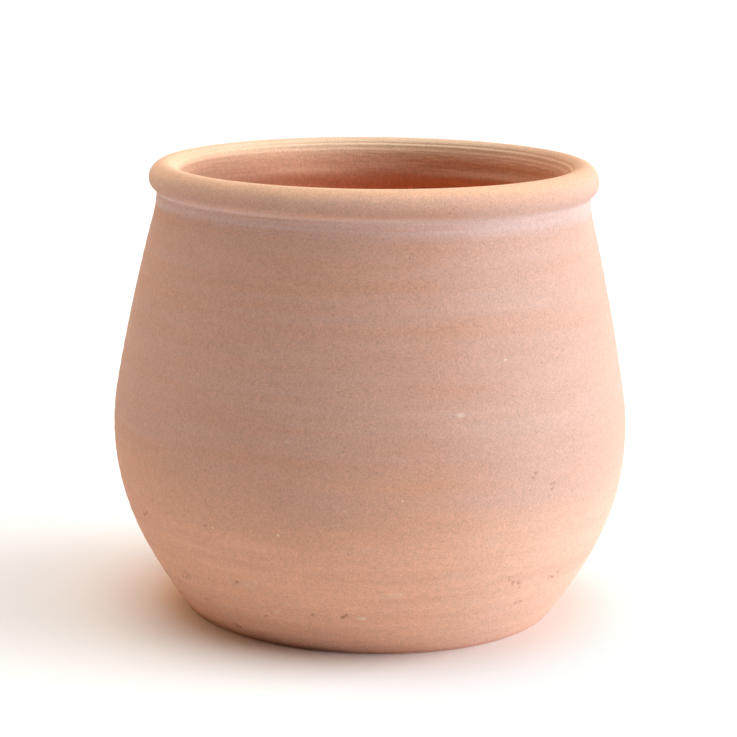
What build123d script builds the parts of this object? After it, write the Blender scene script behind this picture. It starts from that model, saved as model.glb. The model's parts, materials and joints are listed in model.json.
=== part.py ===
from build123d import *
import os

# Wide-bellied clay flower pot, thrown on a wheel and fired in one piece.
# Millimetres, +Z up. The origin is the middle of the foot, on the surface the pot stands on.
# The wall section is drawn with x as the distance from the pot's axis and y as the height.

# Overall sizes
height = 221.5
foot_radius = 91.4
belly_radius = 126.5
belly_height = 89.6
shoulder_top = (106.7, 195.0)

# Clay thickness
wall = 9.2
floor_thickness = 12.0

# Outside of the body
foot_round = 1.5
belly_arc_radius = 121.1
belly_arc_below = 27.8
belly_arc_above = 9.5

# Rolled rim, from its crown outwards and down to the crease at the neck
crown_middle = 102.0
crown_radius = 6.8
crown_outer_angle = 45.0
cheek_radius = 9.2
underside_radius = 12.8
underside_turn = 46.0
crease_round = 1.5

# Mouth, from the crown inwards and down into the throat
crown_inner_angle = 150.0
lip_radius = 15.8
throat_arc_radius = 26.6
throat_turn = 15.2

# Inside bottom and drain hole
inner_floor_radius = 88.5
floor_corner_round = 20.0
drain_radius = 11.0
drain_edge_round = 1.5


def belly_arc(inset=0.0):
    """The fullest stretch of the wall, drawn upwards; an inset moves it towards the axis."""
    centre = (belly_radius - belly_arc_radius, belly_height)
    return CenterArc(centre, belly_arc_radius - inset, -belly_arc_below, belly_arc_below + belly_arc_above)


def draw_rim():
    """Thick round roll; returns its crease outside and the end of its lip inside the mouth."""
    centre = (crown_middle, height - crown_radius)
    crown = CenterArc(centre, crown_radius, crown_outer_angle, crown_inner_angle - crown_outer_angle)
    cheek = JernArc(crown @ 0, crown % 0 * -1, cheek_radius, -crown_outer_angle)
    underside = JernArc(cheek @ 1, cheek % 1, underside_radius, -underside_turn)
    lip = JernArc(crown @ 1, crown % 1, lip_radius, 180 - crown_inner_angle)
    return underside @ 1, lip


def draw_outside(crease):
    """Foot, belly and shoulder, then the soft neck that ends in the crease under the rim."""
    belly = belly_arc()
    TangentArc(belly @ 0, (foot_radius, 0), tangent=belly % 0 * -1)
    shoulder = TangentArc(belly @ 1, shoulder_top, tangent=belly % 1)
    TangentArc(shoulder @ 1, crease, tangent=shoulder % 1)


def draw_inside(lip):
    """Throat, inner shoulder, belly and lower wall, down to the pot's floor."""
    throat = JernArc(lip @ 1, lip % 1, throat_arc_radius, -throat_turn)
    belly = belly_arc(inset=wall)
    TangentArc(belly @ 1, throat @ 1, tangent=belly % 1)
    TangentArc(belly @ 0, (inner_floor_radius, floor_thickness), tangent=belly % 0 * -1)


def draw_floor():
    """Flat bottom slab of the section, cut off at the axis."""
    Polyline((inner_floor_radius, floor_thickness), (0, floor_thickness), (0, 0), (foot_radius, 0))


def corner_at(sketch, point):
    """The sketch's corner that lies nearest to a point of the section."""
    return sketch.vertices().sort_by_distance(point)[0]


# Wall section, turned once round the axis, then the drain hole through the floor
with BuildPart() as pot_body:
    with BuildSketch(Plane.XZ) as section:
        with BuildLine():
            crease, lip = draw_rim()
            draw_outside(crease)
            draw_inside(lip)
            draw_floor()
        make_face()
        fillet(corner_at(section.sketch_local, crease), crease_round)
        fillet(corner_at(section.sketch_local, (foot_radius, 0)), foot_round)
        fillet(corner_at(section.sketch_local, (inner_floor_radius, floor_thickness)), floor_corner_round)
    revolve(axis=Axis.Z)
    with Locations((0, 0, floor_thickness)):
        Hole(drain_radius)
    fillet(pot_body.edges().filter_by(lambda edge: edge.length < 7 * drain_radius), drain_edge_round)

pot_body.part.label = "pot_body"

os.makedirs("parts", exist_ok=True)
export_step(pot_body.part, "parts/pot_body.step")
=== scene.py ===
import json
import math
import random

import bmesh
import bpy
from bpy.props import FloatProperty, FloatVectorProperty, IntProperty, PointerProperty
from bpy.types import Operator, Panel, PropertyGroup
from mathutils import Matrix, Vector, kdtree, noise


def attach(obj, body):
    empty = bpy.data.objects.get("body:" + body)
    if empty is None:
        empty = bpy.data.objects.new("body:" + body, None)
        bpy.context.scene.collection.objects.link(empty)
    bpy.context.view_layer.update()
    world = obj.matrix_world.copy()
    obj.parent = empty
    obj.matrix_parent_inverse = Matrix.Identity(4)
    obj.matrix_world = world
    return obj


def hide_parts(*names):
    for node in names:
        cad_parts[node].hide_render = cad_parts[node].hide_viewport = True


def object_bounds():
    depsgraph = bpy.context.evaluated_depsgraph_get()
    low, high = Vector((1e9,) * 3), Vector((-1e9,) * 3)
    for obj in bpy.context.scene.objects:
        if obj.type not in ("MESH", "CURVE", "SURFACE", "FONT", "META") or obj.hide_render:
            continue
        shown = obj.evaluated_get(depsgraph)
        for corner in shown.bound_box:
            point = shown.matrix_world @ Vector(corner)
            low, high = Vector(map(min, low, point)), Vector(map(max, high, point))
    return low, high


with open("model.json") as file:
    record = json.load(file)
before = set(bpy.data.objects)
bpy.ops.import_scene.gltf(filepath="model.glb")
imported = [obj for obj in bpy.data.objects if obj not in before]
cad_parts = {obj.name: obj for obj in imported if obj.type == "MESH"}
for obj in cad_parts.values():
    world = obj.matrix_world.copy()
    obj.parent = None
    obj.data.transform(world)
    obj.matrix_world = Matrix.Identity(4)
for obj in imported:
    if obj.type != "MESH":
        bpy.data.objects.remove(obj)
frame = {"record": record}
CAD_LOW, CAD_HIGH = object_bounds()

bl_info = {
    "name": "Thrown Terracotta Pot",
    "version": (1, 0, 0),
    "blender": (4, 5, 0),
    "location": "3D Viewport > Sidebar > Pot",
    "description": "Throws a bellied clay pot round the packed CAD body, fires it and lights it in a studio",
    "category": "Add Mesh",
}

# Lengths below are in millimetres, headings and angles in degrees; MM turns them into Blender's metres.
MM = 0.001

# Wall section, the same as the CAD body's
FOOT_RADIUS = 91.4
FOOT_ROUND = 1.5
BELLY_HEIGHT = 89.6
BELLY_ARC_RADIUS = 121.1
BELLY_ARC_BELOW = 27.8
BELLY_ARC_ABOVE = 9.5
SHOULDER_TOP = (106.7, 195.0)
CREASE_HEIGHT = 203.6
CREASE_REACH = 5.2
CREASE_ROUND = 1.5
UNDERSIDE_RADIUS = 12.8
UNDERSIDE_TURN = 46.0
CHEEK_RADIUS = 9.2
CROWN_MIDDLE = 102.0
CROWN_RADIUS = 6.8
CROWN_OUTER_ANGLE = 45.0
CROWN_INNER_ANGLE = 150.0
LIP_RADIUS = 15.8
THROAT_RADIUS = 26.6
THROAT_TURN = 15.2
INNER_FLOOR_RADIUS = 88.5
FLOOR_CORNER_ROUND = 20.0
DRAIN_EDGE_ROUND = 1.5

# Pitches of the spirals and furrows that the making left
THROWING_PITCH = 7.3
FINGER_PITCH = 10.5
FLOOR_SPIRAL_PITCH = 11.0
WIRE_PITCH = 6.5
SCRAPED_LINE_HEIGHT = 197.0

# Radius on which a drag mark's length becomes a turn round the pot, and the wall's radius unrolled, in metres
MARK_RADIUS = 112.0
UNROLLED = 0.11
LONER_PITS = 26
PIT_REACH = 2.4
PIT_CUTS = 3

# Drag marks where the foot was turned: direction, height, length along the drag, slope and number of pits.
# Directions are seen from above: 0 is the pot's right side and -90 its front.
DRAG_MARKS = (
    (-54, 37, 13, -30, 11),
    (-40, 34, 8, -12, 7),
    (-49, 24, 4, 10, 3),
    (-53, 90, 4, 70, 2),
    (-48, 84, 4, 60, 3),
    (-151, 56, 8, 10, 6),
    (-146, 77, 1, 0, 1),
    (-145, 68, 2, 0, 1),
    (-142, 29, 10, 12, 8),
    (-138, 18, 5, 20, 4),
    (-123, 34, 2, 0, 2),
    (-118, 17, 3, 25, 3),
    (-130, 6, 4, 10, 4),
    (-104, 22, 1, 0, 1),
    (-96, 22, 2, 0, 2),
    (-128, 62, 1, 0, 1),
    (36, 42, 9, -20, 7),
    (74, 27, 12, 15, 9),
    (112, 61, 5, -10, 4),
    (148, 31, 10, 20, 8),
    (95, 88, 2, 0, 2),
)

# Chalky flecks and smudges: direction, height, radius and strength
FLECKS = (
    (-71, 121, 2.4, 0.42),
    (-107, 108, 1.6, 0.25),
    (-91, 22, 2.4, 0.45),
    (-113, 21, 2.2, 0.3),
    (-83, 36, 4.2, 0.22),
    (-112.7, 72, 1.0, 0.35),
    (-94.6, 78, 1.0, 0.35),
    (-66.6, 192, 0.8, 0.7),
    (-38.5, 184, 0.8, 0.7),
    (-59.3, 144, 0.8, 0.6),
    (55, 96, 1.4, 0.5),
    (128, 54, 3.0, 0.3),
)


def mount_size(name, key):
    """A dimension of one of the record's mounts."""
    mount = next(mount for mount in frame["record"]["mounts"] if mount["name"] == name)
    return mount["dims"][key]


# ------------------------------------------------------------------ properties


class PotShape(PropertyGroup):
    """Sizes of the thrown body."""

    height: FloatProperty(
        name="Height", description="From the foot to the highest point of the rim",
        default=CAD_HIGH.z - CAD_LOW.z, unit="LENGTH",
    )
    belly_radius: FloatProperty(
        name="Belly radius", description="Radius at the fullest height of the wall",
        default=(CAD_HIGH.x - CAD_LOW.x) / 2, unit="LENGTH",
    )
    wall: FloatProperty(
        name="Wall", description="Thickness of the clay wall", default=9.2 * MM, unit="LENGTH",
    )
    floor: FloatProperty(
        name="Floor", description="Thickness of the pot's bottom", default=12.0 * MM, unit="LENGTH",
    )
    drain_radius: FloatProperty(
        name="Drain radius", description="Radius of the hole through the bottom",
        default=mount_size("drain_hole", "r_mm") * MM, unit="LENGTH",
    )
    segments: IntProperty(
        name="Segments", description="Steps of the mesh round the pot's axis", default=224, min=32,
    )
    foot_shift: FloatProperty(
        name="Foot shift", description="How far the foot sits to the right of the belly's middle",
        default=1.5 * MM, unit="LENGTH",
    )
    crease_lift: FloatProperty(
        name="Crease lift", description="How far the potter's finger pushed the crease up into the roll",
        default=2.3 * MM, unit="LENGTH",
    )
    rim_tilt: FloatProperty(
        name="Rim tilt", description="How much lower the rim is on the left than on the right",
        default=3.0 * MM, unit="LENGTH",
    )
    ring_depth: FloatProperty(
        name="Ring depth", description="Depth of the throwing rings on the outside",
        default=0.09 * MM, unit="LENGTH",
    )
    groove_depth: FloatProperty(
        name="Groove depth", description="Depth of the finger grooves on the inside",
        default=0.35 * MM, unit="LENGTH",
    )


def clay_colour(name, description, default):
    """A colour property."""
    return FloatVectorProperty(
        name=name, description=description, default=default, subtype="COLOR", size=3, min=0, max=1,
    )


class ClayFinish(PropertyGroup):
    """Colours of the fired clay."""

    tan: clay_colour("Tan", "Bare clay of the upper body", (0.705, 0.345, 0.21))
    bloom: clay_colour("Bloom", "Grey-pink salt bloom on the outside", (0.705, 0.408, 0.312))
    low_clay: clay_colour("Low clay", "Orange clay of the lower body", (0.87, 0.455, 0.29))
    base_clay: clay_colour("Base clay", "Clay just above the foot", (0.95, 0.555, 0.39))
    rim_wash: clay_colour("Rim wash", "Warm top of the rim", (0.96, 0.56, 0.35))
    # The lip colour is partly the rim's cream clay and partly a painted highlight, brighter than bare clay.
    lip: clay_colour("Lip", "Cream inner side of the rim", (1.0, 0.70, 0.475))
    # Pale is also laid on the right front as a painted sheen of the key light; in the smudges low down it is
    # the clay's own bloom.
    pale: clay_colour("Pale", "Pale bloom on the side that faced the flame", (0.80, 0.60, 0.53))
    roll: clay_colour("Roll", "Front of the rolled rim", (0.83, 0.49, 0.355))
    neck_band: clay_colour("Neck band", "Pale scraped band under the rim", (0.77, 0.59, 0.575))
    inner: clay_colour("Inner", "Clay inside the pot", (0.90, 0.46, 0.28))
    underside: clay_colour("Underside", "Wire-cut bottom", (0.80, 0.42, 0.28))
    # The pit colour is a dark red-brown laid into the pits' hollows and, weaker, along the foot line.
    pit: clay_colour("Pit", "Burnt clay in the pits", (0.42, 0.15, 0.09))
    lime: clay_colour("Lime", "Specks of lime in the clay", (0.95, 0.84, 0.66))


class Studio(PropertyGroup):
    """Floor and lights."""

    floor_colour: clay_colour("Floor colour", "Colour of the studio floor", (0.9, 0.868, 0.845))
    key: FloatProperty(name="Key", description="Large soft light on the right", default=1.62)
    overhead: FloatProperty(name="Overhead", description="Soft light above the pot", default=0.71)
    fill: FloatProperty(name="Fill", description="Wide weak light on the left, from behind", default=0.66)


# ------------------------------------------------------------------ wall section


def direction(angle):
    """Unit step in the section's plane, outwards at 0 and up at 90."""
    return Vector((math.cos(math.radians(angle)), 0, math.sin(math.radians(angle))))


def spot(across, up):
    """A point of the section, in millimetres."""
    return Vector((across, 0, up))


class WallSection:
    """Outline of the wall, drawn in the XZ plane as one chain of straight runs and arcs."""

    def __init__(self, bm, start, heading):
        self.bm = bm
        self.tip = bm.verts.new(start * MM)
        self.heading = heading
        self.spacing = 1.0

    def place(self):
        return self.tip.co / MM

    def steps(self, length):
        return max(1, round(length / self.spacing))

    def straight(self, length):
        """A run in the tip's heading."""
        count = self.steps(length)
        for _ in range(count):
            made = bmesh.ops.extrude_vert_indiv(self.bm, verts=[self.tip])
            self.tip = made["verts"][0]
            step = direction(self.heading) * (length / count * MM)
            bmesh.ops.translate(self.bm, verts=[self.tip], vec=step)

    def turn(self, radius, degrees):
        """An arc that leaves in the tip's heading; positive degrees turn it up from outwards."""
        to_centre = direction(self.heading + math.copysign(90, degrees))
        made = bmesh.ops.spin(
            self.bm, geom=[self.tip], cent=self.tip.co + to_centre * (radius * MM), axis=(0, -1, 0),
            angle=math.radians(degrees), steps=self.steps(radius * math.radians(abs(degrees))),
        )
        self.tip = next(item for item in made["geom_last"] if isinstance(item, bmesh.types.BMVert))
        self.heading += degrees

    def reach(self, point):
        """The arc from the tip to a point."""
        chord = point - self.place()
        bend = math.degrees(math.atan2(chord.z, chord.x)) - self.heading
        bend = (bend + 180) % 360 - 180
        self.turn(chord.length / (2 * math.sin(math.radians(abs(bend)))), 2 * bend)

    def arrive(self, point, heading):
        """The arc from the tip to a point that ends in a given heading."""
        chord = point - self.place()
        self.heading = 2 * math.degrees(math.atan2(chord.z, chord.x)) - heading
        self.reach(point)


def draw_foot(section, belly_low):
    """Wire-cut underside and the foot's rounded edge."""
    chord = belly_low - spot(FOOT_RADIUS, 0)
    rise = 2 * math.degrees(math.atan2(chord.z, chord.x)) - (90 - BELLY_ARC_BELOW)
    trim = FOOT_ROUND * math.tan(math.radians(rise / 2))
    section.spacing = 2.2
    section.straight(FOOT_RADIUS - trim - section.place().x)
    section.spacing = 0.4
    section.turn(FOOT_ROUND, rise)


def draw_outside(section, belly_low):
    """Lower wall, belly and shoulder."""
    section.spacing = 1.5
    section.arrive(belly_low, 90 - BELLY_ARC_BELOW)
    section.turn(BELLY_ARC_RADIUS, BELLY_ARC_BELOW + BELLY_ARC_ABOVE)
    section.reach(spot(*SHOULDER_TOP))


def draw_rim(section, height):
    """Neck, crease, rolled rim and the lip inside it."""
    crown = spot(CROWN_MIDDLE, height - CROWN_RADIUS)
    cheek = crown + direction(CROWN_OUTER_ANGLE) * (CROWN_RADIUS - CHEEK_RADIUS)
    underside = cheek + direction(0) * (CHEEK_RADIUS - UNDERSIDE_RADIUS)
    crease = underside + direction(-UNDERSIDE_TURN) * UNDERSIDE_RADIUS
    trim = CREASE_ROUND * math.tan(math.radians(UNDERSIDE_TURN / 2))
    trimmed_turn = math.degrees(trim / UNDERSIDE_RADIUS)
    section.spacing = 0.8
    section.reach(crease - direction(90) * trim)
    section.spacing = 0.4
    section.turn(CREASE_ROUND, trimmed_turn - UNDERSIDE_TURN)
    section.spacing = 0.9
    section.turn(UNDERSIDE_RADIUS, UNDERSIDE_TURN - trimmed_turn)
    section.turn(CHEEK_RADIUS, CROWN_OUTER_ANGLE)
    section.turn(CROWN_RADIUS, 90 - CROWN_OUTER_ANGLE)
    section.spacing = 0.4
    section.turn(CROWN_RADIUS, CROWN_INNER_ANGLE - 90)
    section.spacing = 0.6
    section.turn(LIP_RADIUS, 180 - CROWN_INNER_ANGLE)


def draw_inside(section, belly_centre, wall, floor):
    """Throat, inner wall and the rounded corner of the floor."""
    inner_arc = BELLY_ARC_RADIUS - wall
    section.spacing = 1.2
    section.turn(THROAT_RADIUS, -THROAT_TURN)
    section.spacing = 2.0
    section.arrive(belly_centre + direction(BELLY_ARC_ABOVE) * inner_arc, BELLY_ARC_ABOVE - 90)
    section.spacing = 3.2
    section.turn(inner_arc, -(BELLY_ARC_ABOVE + BELLY_ARC_BELOW))
    corner = spot(INNER_FLOOR_RADIUS, floor)
    chord = corner - section.place()
    arriving = 2 * math.degrees(math.atan2(chord.z, chord.x)) - section.heading
    trim = FLOOR_CORNER_ROUND * math.tan(math.radians((arriving + 180) / 2))
    section.reach(corner - direction(arriving) * trim)
    section.turn(FLOOR_CORNER_ROUND, -180 - section.heading)


def draw_wall(bm, shape):
    """The whole closed section: it starts half-way up the drain hole and goes down, out and round."""
    height, wall, floor = shape.height / MM, shape.wall / MM, shape.floor / MM
    drain = shape.drain_radius / MM
    belly_centre = spot(shape.belly_radius / MM - BELLY_ARC_RADIUS, BELLY_HEIGHT)
    belly_low = belly_centre + direction(-BELLY_ARC_BELOW) * BELLY_ARC_RADIUS
    section = WallSection(bm, spot(drain, floor / 2), -90)
    section.spacing = 1.5
    section.straight(floor / 2 - DRAIN_EDGE_ROUND)
    section.turn(DRAIN_EDGE_ROUND, 90)
    draw_foot(section, belly_low)
    draw_outside(section, belly_low)
    draw_rim(section, height)
    draw_inside(section, belly_centre, wall, floor)
    section.spacing = 2.6
    section.straight(section.place().x - drain - DRAIN_EDGE_ROUND)
    section.spacing = 0.6
    section.turn(DRAIN_EDGE_ROUND, 90)
    section.spacing = 1.5
    section.straight(section.place().z - floor / 2)


def measure_section(bm):
    """Writes how far along the section each point is, then closes the section."""
    station = bm.verts.layers.float.new("station")
    bm.verts.ensure_lookup_table()
    here = bm.verts[0]
    travelled = 0.0
    edge = here.link_edges[0]
    while edge:
        there = edge.other_vert(here)
        travelled += edge.calc_length() / MM
        there[station] = travelled
        edge = next((onward for onward in there.link_edges if onward != edge), None)
        here = there
    bmesh.ops.remove_doubles(bm, verts=bm.verts, dist=0.02 * MM)


# ------------------------------------------------------------------ hand-made surface


def ease(value, low, high):
    """0 up to low, 1 from high on, and smooth between."""
    share = min(max((value - low) / (high - low), 0), 1)
    return share * share * (3 - 2 * share)


def bell(distance, width):
    """1 at no distance, falling smoothly to nothing within about two widths."""
    return math.exp(-((distance / width) ** 2))


def unevenness(angle, along, turns, size, seed):
    """Random swell from -1 to 1, with so many waves round the pot and so long ones along its wall."""
    ring = turns / math.tau * 2
    return noise.noise(Vector((math.cos(angle) * ring + seed, math.sin(angle) * ring - seed, along / size)))


def drag_pits():
    """Directions, heights and sizes of the pits: each drag mark's own, then a few loners all round."""
    chance = random.Random(7)
    pits = []
    for heading, height, length, slope, count in DRAG_MARKS:
        for number in range(count):
            along = length * ((number + 0.5) / count - 0.5) + chance.uniform(-0.5, 0.5)
            across = chance.gauss(0, 0.8)
            drift = along * math.cos(math.radians(slope)) - across * math.sin(math.radians(slope))
            climb = along * math.sin(math.radians(slope)) + across * math.cos(math.radians(slope))
            turned = math.degrees(drift / MARK_RADIUS)
            pits.append((heading + turned, height + climb, chance.uniform(0.45, 0.95)))
    for _ in range(LONER_PITS):
        pits.append((chance.uniform(-180, 180), chance.triangular(4, 120, 20), chance.uniform(0.35, 0.6)))
    return pits


def flat(face):
    """The level part of the way from the axis to a face."""
    return face.calc_center_median().xy.to_3d()


def near_wall_places(bm, marks):
    """Points of the outer wall at the marks' directions and heights, with their sizes."""
    centres = [face.calc_center_median() for face in bm.faces if face.normal.dot(flat(face)) > 0]
    tree = kdtree.KDTree(len(centres))
    for number, centre in enumerate(centres):
        tree.insert((math.atan2(centre.y, centre.x) * UNROLLED, centre.z, 0), number)
    tree.balance()
    places = []
    for heading, height, size in marks:
        _, number, _ = tree.find((math.radians(heading) * UNROLLED, height * MM, 0))
        place = Vector((centres[number].xy.length, 0, height * MM))
        places.append((Matrix.Rotation(math.radians(heading), 3, "Z") @ place, size * MM))
    return places


def refine_near(bm, places, reach, cuts):
    """Splits the faces within reach of the places into small ones."""
    tree = kdtree.KDTree(len(places))
    for number, (place, _) in enumerate(places):
        tree.insert(place, number)
    tree.balance()
    near = [face for face in bm.faces if tree.find(face.calc_center_median())[2] < reach]
    edges = list({edge for face in near for edge in face.edges})
    bmesh.ops.subdivide_edges(bm, edges=edges, cuts=cuts, use_grid_fill=True)


def back_on_the_round(bm, segments):
    """Moves points that a split left on a chord out to the circle that the chord cuts."""
    half = math.pi / segments
    for vert in bm.verts:
        angle = math.atan2(vert.co.y, vert.co.x) % (2 * half) - half
        vert.co.xy *= math.cos(angle) / math.cos(half)


class Surface:
    """The marks that throwing, scraping and cutting left, as heights over the plain section."""

    def __init__(self, shape, places):
        self.shape = shape
        self.pits = places
        self.tree = kdtree.KDTree(len(places))
        for number, (place, _) in enumerate(places):
            self.tree.insert(place, number)
        self.tree.balance()

    def outside(self, angle, height):
        """Faint throwing rings that climb in a spiral, and fine wiping lines between them."""
        depth = self.shape.ring_depth / MM
        swell = unevenness(angle, height, 5, 40, 3.1)
        ring = math.sin(math.tau * (height / THROWING_PITCH + angle / math.tau + 0.5 * swell))
        lines = unevenness(angle, height, 9, 1.6, 8.8)
        return depth * (0.6 + 0.8 * swell) * ring + 0.5 * depth * lines

    def neck(self, angle, height):
        """A thin ridge that the scraper left at the foot of the neck."""
        line = SCRAPED_LINE_HEIGHT + 0.9 * unevenness(angle, 0, 5, 1, 5.5)
        strength = 0.6 + 0.5 * unevenness(angle, 0, 7, 1, 2.5)
        return strength * (0.22 * bell(height - line, 0.9) - 0.16 * bell(height - line + 2.2, 1.2))

    def lip(self, angle, inward):
        """A fine groove and a raised line inside the crown, and torn grit below them."""
        start = CROWN_RADIUS * math.radians(CROWN_INNER_ANGLE - 90)
        groove = -0.28 * bell(inward - start + 1.2 + 0.3 * unevenness(angle, 0, 8, 1, 6.1), 0.5)
        ridge = 0.24 * bell(inward - start - 0.3, 0.6)
        torn = ease(inward, start + 1.0, start + 2.5) * (1 - ease(inward, start + 8, start + 15))
        return groove + ridge + 0.24 * torn * unevenness(angle, inward, 160, 0.9, 1.2)

    def inside(self, angle, height):
        """Finger grooves that climb in a spiral."""
        depth = self.shape.groove_depth / MM
        swell = unevenness(angle, height, 4, 35, 9.4)
        groove = math.sin(math.tau * (height / FINGER_PITCH + angle / math.tau + 0.6 * swell))
        lines = unevenness(angle, height, 12, 2.2, 4.8)
        return depth * (0.7 + 0.7 * swell) * groove + 0.3 * depth * lines

    def floor(self, angle, radius):
        """The spiral that a thumb left on the pot's floor."""
        groove = math.sin(math.tau * (radius / FLOOR_SPIRAL_PITCH + angle / math.tau))
        return 0.4 * groove * ease(radius, 14, 22) * (1 - ease(radius, 66, 78))

    def underside(self, place):
        """Curved furrows of the cutting wire; they only go into the clay."""
        pull = (place.xy - Vector((-150, 60))).length + 3 * noise.noise(place * 0.02)
        furrow = 0.5 + 0.5 * math.sin(math.tau * pull / WIRE_PITCH)
        return -0.22 * furrow * ease(place.xy.length, 14, 20) * (1 - ease(place.xy.length, 84, 89))

    def pit(self, place):
        """How deep the nearest pit is at this point, from 0 to 1, and its size."""
        _, number, distance = self.tree.find(place)
        size = self.pits[number][1]
        return bell(distance, 0.75 * size), size / MM


def shape_surface(bm, shape, places):
    """Gives the plain body its hand-made surface, and keeps masks of it for the clay's finish."""
    surface = Surface(shape, places)
    layers = bm.verts.layers.float
    station = layers["station"]
    inside, rim, pit = layers.new("inside"), layers.new("rim"), layers.new("pit")
    crown = max(bm.verts, key=lambda vert: vert.co.z)[station]
    floor = shape.floor / MM
    bm.normal_update()
    heights = {}
    for vert in bm.verts:
        place = vert.co / MM
        angle = math.atan2(place.y, place.x)
        inward = vert[station] - crown
        vert[inside] = 0.4 * ease(inward, 8, 11) + 0.6 * ease(inward, 13, 30)
        vert[rim] = inward
        if inward > 0:
            down = floor + 12 - place.z
            wall = ease(inward, 12, 24) * (1 - ease(down, -8, 8))
            lift = surface.lip(angle, inward) + wall * surface.inside(angle, place.z)
            if place.z < floor + 0.1:
                lift += surface.floor(angle, place.xy.length)
        elif place.z < 0.01:
            lift = surface.underside(place)
        else:
            wall = ease(place.z, 3, 10) * (1 - ease(place.z, 188, 203))
            lift = wall * surface.outside(angle, place.z) + surface.neck(angle, place.z)
            depth, size = surface.pit(vert.co)
            vert[pit] = depth
            lift -= 0.8 * size * depth
            edge = ease(place.z, 0.05, 0.6) * (1 - ease(place.z, 2.5, 6))
            lift -= edge * (0.25 + 0.35 * unevenness(angle, 0, 26, 1, 7.7))
        heights[vert] = lift
    for vert, lift in heights.items():
        vert.co += vert.normal * (lift * MM)


def make_uneven(bm, shape):
    """The pot's own crookedness: crease pushed up, out of round, foot off centre, rim lower on one side."""
    height = shape.height
    rim = bm.verts.layers.float["rim"]
    for vert in bm.verts:
        if vert[rim] < 0:
            vert.co.z += shape.crease_lift * bell(vert.co.z / MM - CREASE_HEIGHT, CREASE_REACH)
        x, y, z = vert.co
        radius = math.hypot(x, y)
        angle = math.atan2(y, x)
        share = z / height
        squeeze = 0.3 * MM * (unevenness(angle, z / MM, 3, 90, 0.7) - 1) * ease(radius, 20 * MM, 80 * MM)
        vert.co.xy *= 1 + squeeze / radius
        slide = shape.foot_shift * math.exp(-((share / 0.3) ** 2)) - 0.42 * shape.foot_shift * share**3
        vert.co.x += slide * ease(radius, 20 * MM, 80 * MM)
        tilt = shape.rim_tilt * 0.5 * (x / (CROWN_MIDDLE * MM) - 1)
        vert.co.z += tilt * share**12


def build_body(shape):
    """The finished body as a bmesh, closed all round, and the places of the chalky flecks."""
    bm = bmesh.new()
    draw_wall(bm, shape)
    measure_section(bm)
    bmesh.ops.spin(
        bm, geom=bm.verts[:] + bm.edges[:], cent=(0, 0, 0), axis=(0, 0, 1), angle=math.tau,
        steps=shape.segments, use_merge=True,
    )
    bmesh.ops.remove_doubles(bm, verts=bm.verts, dist=0.01 * MM)
    bmesh.ops.recalc_face_normals(bm, faces=bm.faces)
    flecks = near_wall_places(bm, [mark[:3] for mark in FLECKS])
    places = near_wall_places(bm, drag_pits())
    refine_near(bm, places, PIT_REACH * MM, PIT_CUTS)
    back_on_the_round(bm, shape.segments)
    shape_surface(bm, shape, places)
    make_uneven(bm, shape)
    for face in bm.faces:
        face.smooth = True
    return bm, flecks


# ------------------------------------------------------------------ shader maths


class Signal:
    """A socket of a material's nodes that can be used in Python expressions."""

    def __init__(self, shader, socket):
        self.shader = shader
        self.socket = socket

    def math(self, operation, *others):
        """The result of one Math node."""
        inputs = dict(enumerate((self, *others)))
        return self.shader.node("ShaderNodeMath", {"operation": operation}, inputs)

    def __add__(self, other):
        return self.math("ADD", other)

    def __sub__(self, other):
        return self.math("SUBTRACT", other)

    def __mul__(self, other):
        return self.math("MULTIPLY", other)

    def __rsub__(self, other):
        return self.shader.node("ShaderNodeMath", {"operation": "SUBTRACT"}, {0: other, 1: self})

    __radd__ = __add__
    __rmul__ = __mul__

    def clamped(self):
        """The same value, kept from 0 to 1."""
        return self.math("MINIMUM", 1.0).math("MAXIMUM", 0.0)

    def between(self, low, high):
        """0 below low, 1 above high, smooth between."""
        inputs = {"Value": self, "From Min": low, "From Max": high}
        return self.shader.node("ShaderNodeMapRange", {"interpolation_type": "SMOOTHSTEP"}, inputs)


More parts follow.
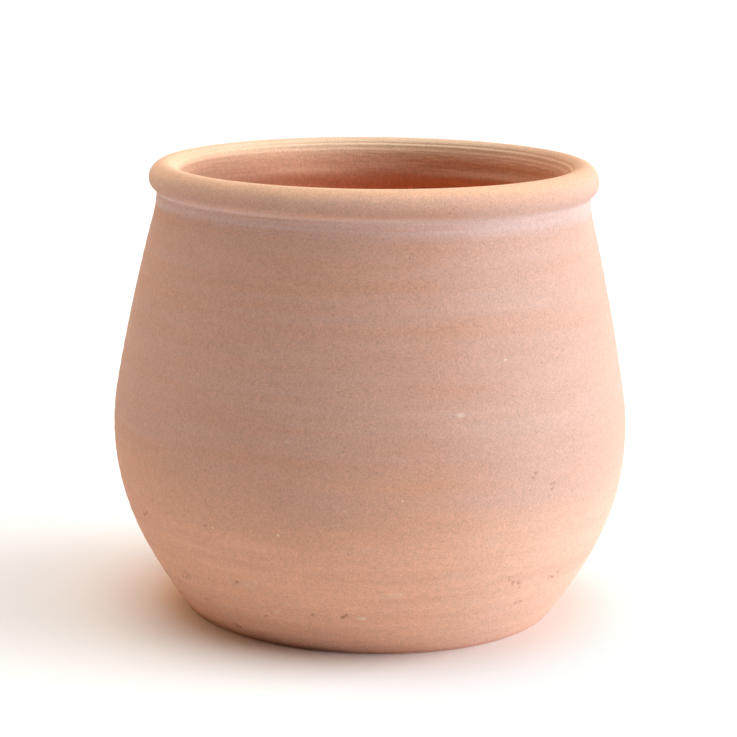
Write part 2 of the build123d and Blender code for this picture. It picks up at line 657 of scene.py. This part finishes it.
class Shader:
    """Builds one material's nodes."""

    def __init__(self, name):
        self.material = bpy.data.materials.new(name)
        self.material.use_nodes = True
        self.tree = self.material.node_tree
        self.tree.nodes.clear()

    def node(self, kind, settings, inputs, output=0):
        """Any node: its settings are set first, then its sockets get their values or links."""
        node = self.tree.nodes.new(kind)
        for name, value in settings.items():
            setattr(node, name, value)
        for name, value in inputs.items():
            if isinstance(value, Signal):
                self.tree.links.new(value.socket, node.inputs[name])
            else:
                node.inputs[name].default_value = value
        return Signal(self, node.outputs[output])

    def attribute(self, name):
        """A mask that shape_surface wrote."""
        return self.node("ShaderNodeAttribute", {"attribute_name": name}, {}, "Fac")

    def object_place(self):
        """Place in the piece, in metres."""
        return self.node("ShaderNodeTexCoord", {}, {}, "Object")

    def stretched(self, place, across, up):
        """Coordinates with so many features a metre across and up."""
        return self.node("ShaderNodeMapping", {}, {"Vector": place, "Scale": (across, across, up)})

    def cloud(self, place, detail=2.0, roughness=0.5, scale=1.0):
        """Smooth noise about 0.5."""
        inputs = {"Vector": place, "Scale": scale, "Detail": detail, "Roughness": roughness}
        return self.node("ShaderNodeTexNoise", {}, inputs)

    def mix(self, low, high, share):
        """One colour laid over another by a share."""
        return self.node("ShaderNodeMix", {"data_type": "RGBA"}, {0: share, 6: low, 7: high}, 2)

    def shaded(self, colour, amount):
        """A colour made darker or lighter by a number."""
        inputs = {0: colour, 3: amount}
        return self.node("ShaderNodeVectorMath", {"operation": "SCALE"}, inputs)

    def part(self, place, axis):
        """One of a place's three coordinates."""
        return self.node("ShaderNodeSeparateXYZ", {}, {"Vector": place}, axis)

    def faces(self, place, heading):
        """How squarely a spot of the wall faces a heading: 1 straight at it, -1 away from it."""
        level = self.stretched(place, 1, 0)
        outwards = self.node("ShaderNodeVectorMath", {"operation": "NORMALIZE"}, {0: level})
        turn = math.radians(heading)
        inputs = {0: outwards, 1: (math.cos(turn), math.sin(turn), 0)}
        return self.node("ShaderNodeVectorMath", {"operation": "DOT_PRODUCT"}, inputs, "Value")

    def finish(self, inputs):
        """The finished material, with its Principled shader's inputs."""
        shader = self.node("ShaderNodeBsdfPrincipled", {}, inputs)
        out = self.tree.nodes.new("ShaderNodeOutputMaterial")
        self.tree.links.new(shader.socket, out.inputs["Surface"])
        return self.material


def paint(colour):
    """A colour property as a colour socket takes it."""
    return (*colour, 1.0)


# ------------------------------------------------------------------ clay finish

# Features a metre, round the pot and up it
STREAKS = (8, 150)
BANDS = (4, 42)
DRIFTS = (9, 28)
SMUDGES = (45, 120)
MOTTLE = (30, 140)
WIPES = (10, 260)
RIM_STREAKS = (12, 400)
RIM_WANDER = (30, 30)

# Features or cells a metre, the same in every direction
GRAIN = 1150.0
GRIT = 330.0
DARK_CELLS = 330.0
LIME_CELLS = 70.0
CHALK_EDGE = 260.0

# Heights, in metres, between which one clay gives way to the next
LOW_CLAY_FADE = (0.040, 0.110)
FOOT_LINE_FADE = (0.0008, 0.0024)
UNDERSIDE_FADE = (0.0004, 0.0012)

# Distances, in millimetres, along the wall from the rim's crown; the outside is negative
NECK_BAND_START = (-30.5, -26.0)
NECK_BAND_END = (-22.5, -18.5)
UNDER_ROLL_SHADE_AND_DUST = (-25.0, -21.0)
ROLL_FADE = (-17.5, -8.5)
CROWN_FADE = (-10.5, -4.5)
LIP_FADE = (1.0, 4.0)
TORN_START = (8.5, 10.5)
TORN_END = (18.0, 30.0)

# Headings of the painted sheen on the right front, where the key light grazes the wall, and of the painted
# shade on the back right, where the key light is strongest
SHEEN_HEADING = -35
SHADE_HEADING = 60


def outside_colour(shader, place, height, finish):
    """Grey-pink bloom wiped round the pot in thin streaks over tan clay, orange clay low down, a painted
    sheen on the right front and painted shade on the back right.
    """
    streaks = shader.cloud(shader.stretched(place, *STREAKS), 4.0, 0.6)
    bands = shader.cloud(shader.stretched(place, *BANDS), 2.0)
    drifts = shader.cloud(shader.stretched(place, *DRIFTS), 3.0)
    cover = 0.70 + 1.7 * (streaks - 0.5) + 0.8 * (bands - 0.5) + 0.8 * (drifts - 0.5)
    low = 1.0 - (height + 0.05 * (drifts - 0.5)).between(*LOW_CLAY_FADE)
    cover = (cover - 0.15 * low).clamped()
    upper = shader.mix(paint(finish.tan), paint(finish.bloom), cover)
    lower = shader.mix(paint(finish.base_clay), paint(finish.low_clay), (2.4 * streaks - 0.7).clamped())
    colour = shader.mix(upper, lower, low * (1.0 - 0.35 * cover))
    smudges = shader.cloud(shader.stretched(place, *SMUDGES), 3.0).between(0.56, 0.72) * low
    colour = shader.mix(colour, paint(finish.pale), smudges * 0.18)
    foot_line = 1.0 - (height + 0.004 * (drifts - 0.5)).between(*FOOT_LINE_FADE)
    colour = shader.mix(colour, paint(finish.pit), foot_line * 0.4)
    # Painted sheen: the right front, where the key light grazes the wall, turns pale.
    painted_sheen = (shader.faces(place, SHEEN_HEADING) + 0.2 * (drifts - 0.5)).between(0.72, 1.0)
    colour = shader.mix(colour, paint(finish.pale), painted_sheen * 0.28)
    # Painted shade: the back right, where the key light is strongest, is darkened by up to 15 %.
    painted_shade = shader.faces(place, SHADE_HEADING).between(0.25, 0.85)
    return shader.shaded(colour, 1.0 - 0.15 * painted_shade)


def rim_colour(shader, colour, rim, place, finish):
    """Neck band, greyed roll, warm crown and creamy lip over the outside's colour, with painted shade and
    dust under the roll, painted shade on the crown's right side and a painted highlight on the lip at the
    back.
    """
    streaks = shader.cloud(shader.stretched(place, *RIM_STREAKS), 3.0, 0.6)
    wander = rim + 3.0 * (shader.cloud(shader.stretched(place, *RIM_WANDER), 2.0) - 0.5)
    neck = wander.between(*NECK_BAND_START) * (1.0 - wander.between(*NECK_BAND_END))
    colour = shader.mix(colour, paint(finish.neck_band), (neck * (1.3 * streaks - 0.2)).clamped())
    # Painted shade mixed with dust: the clay from the crease up is darkened by a tenth, which shows under the
    # roll.
    colour = shader.shaded(colour, 1.0 - 0.1 * wander.between(*UNDER_ROLL_SHADE_AND_DUST))
    colour = shader.mix(colour, paint(finish.roll), wander.between(*ROLL_FADE) * 0.9)
    crown = (wander + 2.0 * (streaks - 0.5)).between(*CROWN_FADE)
    # Painted shade: on the right, where the key light falls, the crown turns to the darker low clay.
    crown_right_shade = shader.part(place, "X").between(0.05, 0.11) * 0.8
    colour = shader.mix(colour, shader.mix(paint(finish.rim_wash), paint(finish.low_clay), crown_right_shade), crown)
    # Partly the lip's cream clay, partly a painted highlight: laid on fully at the back and at a tenth
    # elsewhere.
    cream_and_back_highlight = wander.between(*LIP_FADE) * (0.1 + 0.9 * shader.part(place, "Y").between(0.03, 0.09))
    return shader.mix(colour, paint(finish.lip), cream_and_back_highlight)


def inside_colour(shader, colour, inside, place, wipes, finish):
    """Wiped orange clay inside, with painted shade on the left, where the darker inside tone also reaches
    higher up the lip.
    """
    # Painted shade: on the left, where the key light reaches the inner wall, the inside is darkened and its
    # tone carried higher.
    left = 1.0 - shader.part(place, "X").between(-0.09, -0.03)
    inner = shader.shaded(tuple(finish.inner), 0.85 + 0.3 * wipes - 0.42 * left)
    return shader.mix(colour, inner, (inside * (1.0 + 0.9 * left)).clamped())


def speckles(shader, place, cells, size, share):
    """Round specks in some of the cells of a pattern with so many cells a metre."""
    settings = {"feature": "F1"}
    inputs = {"Vector": place, "Scale": cells}
    distance = shader.node("ShaderNodeTexVoronoi", settings, inputs, "Distance")
    lot = shader.node("ShaderNodeTexVoronoi", settings, inputs, "Color")
    drawn = shader.node("ShaderNodeSeparateColor", {}, {"Color": lot}).math("LESS_THAN", share)
    return drawn * (1.0 - distance.between(0.5 * size, size))


def chalk(shader, place, flecks):
    """Soft marks, twice as wide as high, round the flecks' places."""
    wander = shader.cloud(place, 2.0, 0.5, CHALK_EDGE)
    flattened = shader.stretched(place, 1, 2)
    marks = 0.0
    for (centre, size), (*_, strength) in zip(flecks, FLECKS):
        inputs = {0: flattened, 1: (centre.x, centre.y, 2 * centre.z)}
        distance = shader.node("ShaderNodeVectorMath", {"operation": "DISTANCE"}, inputs, "Value")
        reach = distance + 1.6 * size * (wander - 0.5)
        marks = strength * (1.0 - reach.between(0.35 * size, 1.25 * size)) + marks
    return marks.clamped()


def fired_clay(finish, flecks):
    """Matt sandy terracotta."""
    shader = Shader("fired_clay")
    place = shader.object_place()
    height = shader.part(place, "Z")
    inside, rim, pit = (shader.attribute(name) for name in ("inside", "rim", "pit"))

    grain = shader.cloud(place, 2.0, 0.6, GRAIN)
    grit = shader.cloud(place, 1.0, 0.5, GRIT)
    mottle = shader.cloud(shader.stretched(place, *MOTTLE), 3.0)
    wipes = shader.cloud(shader.stretched(place, *WIPES), 3.0)
    dark_specks = speckles(shader, place, DARK_CELLS, 0.16, 0.35)
    lime_specks = speckles(shader, place, LIME_CELLS, 0.045, 0.25)

    colour = outside_colour(shader, place, height, finish)
    colour = rim_colour(shader, colour, rim, place, finish)
    colour = inside_colour(shader, colour, inside, place, wipes, finish)
    underneath = 1.0 - height.between(*UNDERSIDE_FADE)
    colour = shader.mix(colour, paint(finish.underside), underneath)

    tone = 1.0 + 0.60 * (grain - 0.5) + 0.14 * (grit - 0.5) + 0.10 * (mottle - 0.5) - 0.16 * dark_specks
    colour = shader.shaded(colour, tone)
    colour = shader.mix(colour, paint(finish.lime), lime_specks * (1.0 - inside))
    colour = shader.mix(colour, paint(finish.lime), chalk(shader, place, flecks))
    # Darkens the pits' hollows with the pit colour.
    colour = shader.mix(colour, paint(finish.pit), (pit * 0.85).clamped())

    torn = rim.between(*TORN_START) * (1.0 - rim.between(*TORN_END))
    relief = grain * 0.5 + grit * 0.6 - dark_specks * 0.8 + inside * grit * 1.2 + torn * wipes * 5.0
    bump = shader.node("ShaderNodeBump", {}, {"Strength": 1.0, "Distance": 0.00012, "Height": relief})
    return shader.finish({
        "Base Color": colour,
        "Roughness": 0.86 + 0.1 * grit,
        "Normal": bump,
        "Specular IOR Level": 0.5,
        "Diffuse Roughness": 0.5,
    })


def studio_white(colour):
    """Plain pale paper, very slightly mottled."""
    shader = Shader("studio_white")
    place = shader.object_place()
    mottle = shader.cloud(place, 2.0, 0.5, 3.0)
    tone = 0.99 + 0.02 * mottle
    return shader.finish({"Base Color": shader.shaded(tuple(colour), tone), "Roughness": 0.9})


# ------------------------------------------------------------------ operators


def place_piece(name, bm, material):
    """A finished piece: its object stays at the origin and its place is in its mesh."""
    mesh = bpy.data.meshes.new(name)
    bm.to_mesh(mesh)
    bm.free()
    mesh.materials.append(material)
    piece = bpy.data.objects.new(name, mesh)
    bpy.context.scene.collection.objects.link(piece)
    return piece


class POT_OT_throw_body(Operator):
    """Throw the pot's clay body in place of the plain CAD body"""

    bl_idname = "pot.throw_body"
    bl_label = "Throw Body"

    def execute(self, context):
        body, flecks = build_body(context.scene.pot_shape)
        pot = place_piece("clay_body", body, fired_clay(context.scene.pot_finish, flecks))
        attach(pot, "root")
        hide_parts("pot_body")
        return {"FINISHED"}


# Softboxes: turn from behind the camera towards its right, elevation, width and colour
SOFTBOXES = {
    "key": (90, 15, 60, (0.94, 1.0, 1.05)),
    "overhead": (180, 87, 55, (0.86, 1.0, 1.06)),
    "fill": (-135, 20, 90, (1.0, 0.71, 0.46)),
}

# The floor, in metres, so wide that its edge is never seen
FLOOR_RADIUS = 14.0
FLOOR_SEGMENTS = 128

LENS = 117.87
CAMERA_PLACE = (-1.19, -1165.6, 364.6)
CAMERA_DIP = 11.998
CAMERA_ROLL = 1.3293


def add_softbox(name, turn, elevation, width, strength, colour):
    """A distant soft light; turn 0 is behind the camera and 90 on its right."""
    light = bpy.data.lights.new(name, "SUN")
    light.energy = strength * math.pi
    light.angle = math.radians(width)
    light.color = colour
    softbox = bpy.data.objects.new(name, light)
    around = Matrix.Rotation(math.radians(turn), 4, "Z")
    softbox.matrix_world = around @ Matrix.Rotation(math.radians(90 - elevation), 4, "X")
    bpy.context.scene.collection.objects.link(softbox)


def add_backdrop():
    """A white surrounding that the camera sees and that lights nothing."""
    world = bpy.data.worlds.new("studio")
    bpy.context.scene.world = world
    world.use_nodes = True
    nodes, links = world.node_tree.nodes, world.node_tree.links
    background = nodes["Background"]
    background.inputs["Color"].default_value = (1, 1, 1, 1)
    path = nodes.new("ShaderNodeLightPath")
    links.new(path.outputs["Is Camera Ray"], background.inputs["Strength"])


def add_camera():
    """A long lens a little above the rim, looking down at the pot's front."""
    lens = bpy.data.cameras.new("camera")
    lens.lens = LENS
    camera = bpy.data.objects.new("camera", lens)
    eye = Matrix.Translation(Vector(CAMERA_PLACE) * MM)
    dip = Matrix.Rotation(math.radians(90 - CAMERA_DIP), 4, "X")
    camera.matrix_world = eye @ dip @ Matrix.Rotation(math.radians(CAMERA_ROLL), 4, "Z")
    bpy.context.scene.collection.objects.link(camera)
    bpy.context.scene.camera = camera


class POT_OT_set_studio(Operator):
    """Set the pale floor, the soft lights and the camera"""

    bl_idname = "pot.set_studio"
    bl_label = "Set Studio"

    def execute(self, context):
        studio = context.scene.pot_studio
        bm = bmesh.new()
        bmesh.ops.create_circle(bm, cap_ends=True, segments=FLOOR_SEGMENTS, radius=FLOOR_RADIUS)
        place_piece("studio_floor", bm, studio_white(studio.floor_colour))
        add_backdrop()
        for name, (turn, elevation, width, colour) in SOFTBOXES.items():
            add_softbox(name, turn, elevation, width, getattr(studio, name), colour)
        add_camera()
        context.scene.view_settings.view_transform = "Standard"
        return {"FINISHED"}


class POT_PT_panel(Panel):
    """Lists the pot's operators and settings"""

    bl_idname = "POT_PT_panel"
    bl_label = "Terracotta Pot"
    bl_space_type = "VIEW_3D"
    bl_region_type = "UI"
    bl_category = "Pot"

    def draw(self, context):
        scene = context.scene
        for operator, groups in (
            (POT_OT_throw_body, (scene.pot_shape, scene.pot_finish)),
            (POT_OT_set_studio, (scene.pot_studio,)),
        ):
            box = self.layout.box()
            for settings in groups:
                for name in settings.bl_rna.properties.keys():
                    if name not in {"rna_type", "name"}:
                        box.prop(settings, name)
            box.operator(operator.bl_idname)


CLASSES = (PotShape, ClayFinish, Studio, POT_OT_throw_body, POT_OT_set_studio, POT_PT_panel)


def register():
    for kind in CLASSES:
        bpy.utils.register_class(kind)
    bpy.types.Scene.pot_shape = PointerProperty(type=PotShape)
    bpy.types.Scene.pot_finish = PointerProperty(type=ClayFinish)
    bpy.types.Scene.pot_studio = PointerProperty(type=Studio)


def unregister():
    del bpy.types.Scene.pot_studio
    del bpy.types.Scene.pot_finish
    del bpy.types.Scene.pot_shape
    for kind in reversed(CLASSES):
        bpy.utils.unregister_class(kind)


def main():
    register()
    bpy.ops.pot.throw_body()
    bpy.ops.pot.set_studio()


if __name__ == "__main__":
    main()
